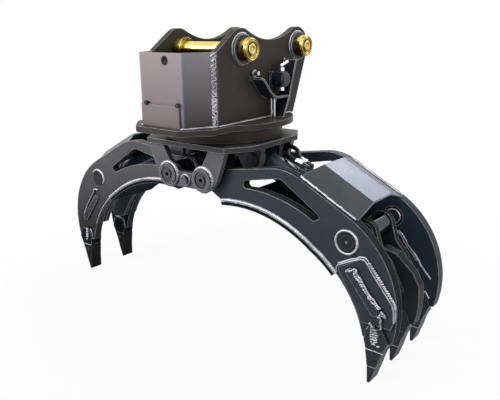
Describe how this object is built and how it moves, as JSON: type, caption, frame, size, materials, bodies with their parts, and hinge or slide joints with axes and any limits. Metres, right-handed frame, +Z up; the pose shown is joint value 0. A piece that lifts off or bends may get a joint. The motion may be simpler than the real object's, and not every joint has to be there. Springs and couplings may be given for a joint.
{
  "type": "rock grapple",
  "caption": "Rotating hydraulic rock grapple with a pin-on hitch head, slewing ring and two opposed toothed jaws, each closed by its own cylinder.",
  "frame": {"origin": "middle of the footprint, on the ground under the tooth tips", "axes": "+X across the jaws to the three-tine jaw, +Y along the jaw pivots towards the rear hitch pin, +Z up"},
  "size_m": [2.19, 0.904, 1.449],
  "materials": {
    "paint_head": "satin dark grey-brown paint",
    "paint_box": "satin warm grey paint",
    "paint_boss": "satin dark grey paint",
    "paint_guard": "satin black paint",
    "paint_deck": "satin dark grey paint",
    "paint_lower": "satin charcoal paint",
    "paint_jaw": "satin charcoal paint",
    "paint_roof": "satin charcoal paint",
    "paint_tooth": "satin black paint on cast steel",
    "gold_zinc": "yellow zinc plating",
    "black_bolt": "black oxide",
    "valve_black": "gloss black paint",
    "bright_zinc": "bright zinc plating",
    "motor_blue": "gloss dark blue paint",
    "machined_steel": "machined and greased",
    "pin_steel": "phosphated",
    "swivel_black": "satin black paint",
    "cylinder_paint": "satin dark blue-grey paint",
    "rod_chrome": "hard chrome",
    "hose_rubber": "matt black rubber"
  },
  "bodies": {
    "head": {"base_plate": "paint_head", "ear_left": "paint_head", "ear_right": "paint_head", "ear_boss_rings": "paint_boss", "front_box": "paint_box", "access_cover": "paint_box", "head_bolts": "black_bolt", "rear_cross_plate": "paint_head", "hitch_pin_front": "gold_zinc", "hitch_pin_rear": "gold_zinc", "pin_collars": "gold_zinc", "valve_guards": "paint_guard", "slew_valve": "valve_black", "valve_fittings": "bright_zinc", "slew_motor": "motor_blue", "slew_skirt": "paint_head", "slew_ring_outer": "machined_steel", "slew_balls": "machined_steel", "swivel_spindle": "machined_steel"},
    "pinion": {"slew_pinion": "machined_steel"},
    "rotor": {"slew_ring_inner": "machined_steel", "deck_plate": "paint_deck", "lug_plate_front": "paint_lower", "lug_plate_rear": "paint_lower", "base_lugs": "paint_lower", "tie_bar": "paint_lower", "pivot_pin_right": "pin_steel", "pivot_pin_left": "pin_steel", "base_pin_right": "pin_steel", "base_pin_left": "pin_steel", "swivel_body": "swivel_black", "hoses_right": "hose_rubber", "hoses_left": "hose_rubber"},
    "jaw_right": {"tine_right_front": "paint_jaw", "tine_right_rear": "paint_jaw", "tine_right_centre": "paint_jaw", "wear_plates_right": "paint_jaw", "belly_right": "paint_jaw", "hub_right": "paint_jaw", "rod_lugs_right": "paint_jaw", "rod_pin_right": "paint_jaw", "guard_right": "paint_roof", "adapters_right": "paint_tooth", "teeth_right": "paint_tooth", "tooth_pins_right": "bright_zinc"},
    "jaw_left": {"tine_left_front": "paint_jaw", "tine_left_rear": "paint_jaw", "wear_plates_left": "paint_jaw", "belly_left": "paint_jaw", "hub_left": "paint_jaw", "rod_lugs_left": "paint_jaw", "rod_pin_left": "paint_jaw", "guard_left": "paint_roof", "adapters_left": "paint_tooth", "teeth_left": "paint_tooth", "tooth_pins_left": "bright_zinc"},
    "barrel_right": {"barrel_right": "cylinder_paint"},
    "rod_right": {"rod_right": "rod_chrome"},
    "barrel_left": {"barrel_left": "cylinder_paint"},
    "rod_left": {"rod_left": "rod_chrome"}
  },
  "joints": [
    {"name": "slew", "type": "hinge", "parent": "head", "child": "rotor", "pos_m": [0, 0.018, 0.96], "axis": [0, 0, 1], "continuous": true},
    {"name": "pinion_spin", "type": "hinge", "parent": "head", "child": "pinion", "pos_m": [0, 0.182, 0.96], "axis": [0, 0, 1], "continuous": true},
    {"name": "jaw_right_pivot", "type": "hinge", "parent": "rotor", "child": "jaw_right", "pos_m": [0.112, 0.018, 0.764], "axis": [0, 1, 0], "range_deg": [0, 55]},
    {"name": "barrel_right_swing", "type": "hinge", "parent": "rotor", "child": "barrel_right", "pos_m": [0.24, 0.018, 0.835], "axis": [0, 1, 0], "range_deg": [0, 58.23], "deforming": ["hoses_right"]},
    {"name": "rod_right_slide", "type": "slide", "parent": "barrel_right", "child": "rod_right", "axis": [0.9338, 0, -0.3578], "range_m": [0, 0.1317]},
    {"name": "jaw_left_pivot", "type": "hinge", "parent": "rotor", "child": "jaw_left", "pos_m": [-0.112, 0.018, 0.764], "axis": [0, -1, 0], "range_deg": [0, 55]},
    {"name": "barrel_left_swing", "type": "hinge", "parent": "rotor", "child": "barrel_left", "pos_m": [-0.24, 0.018, 0.835], "axis": [0, -1, 0], "range_deg": [0, 58.23], "deforming": ["hoses_left"]},
    {"name": "rod_left_slide", "type": "slide", "parent": "barrel_left", "child": "rod_left", "axis": [-0.9338, 0, -0.3578], "range_m": [0, 0.1317]}
  ],
  "couplings": [
    {"joint": "pinion_spin", "follows": "slew", "ratio": 4.1539},
    {"joint": "barrel_right_swing", "follows": "jaw_right_pivot", "ratio": 1.055},
    {"joint": "rod_right_slide", "follows": "jaw_right_pivot", "m_per_rad": 0.1367},
    {"joint": "barrel_left_swing", "follows": "jaw_left_pivot", "ratio": 1.055},
    {"joint": "rod_left_slide", "follows": "jaw_left_pivot", "m_per_rad": 0.1367}
  ]
}
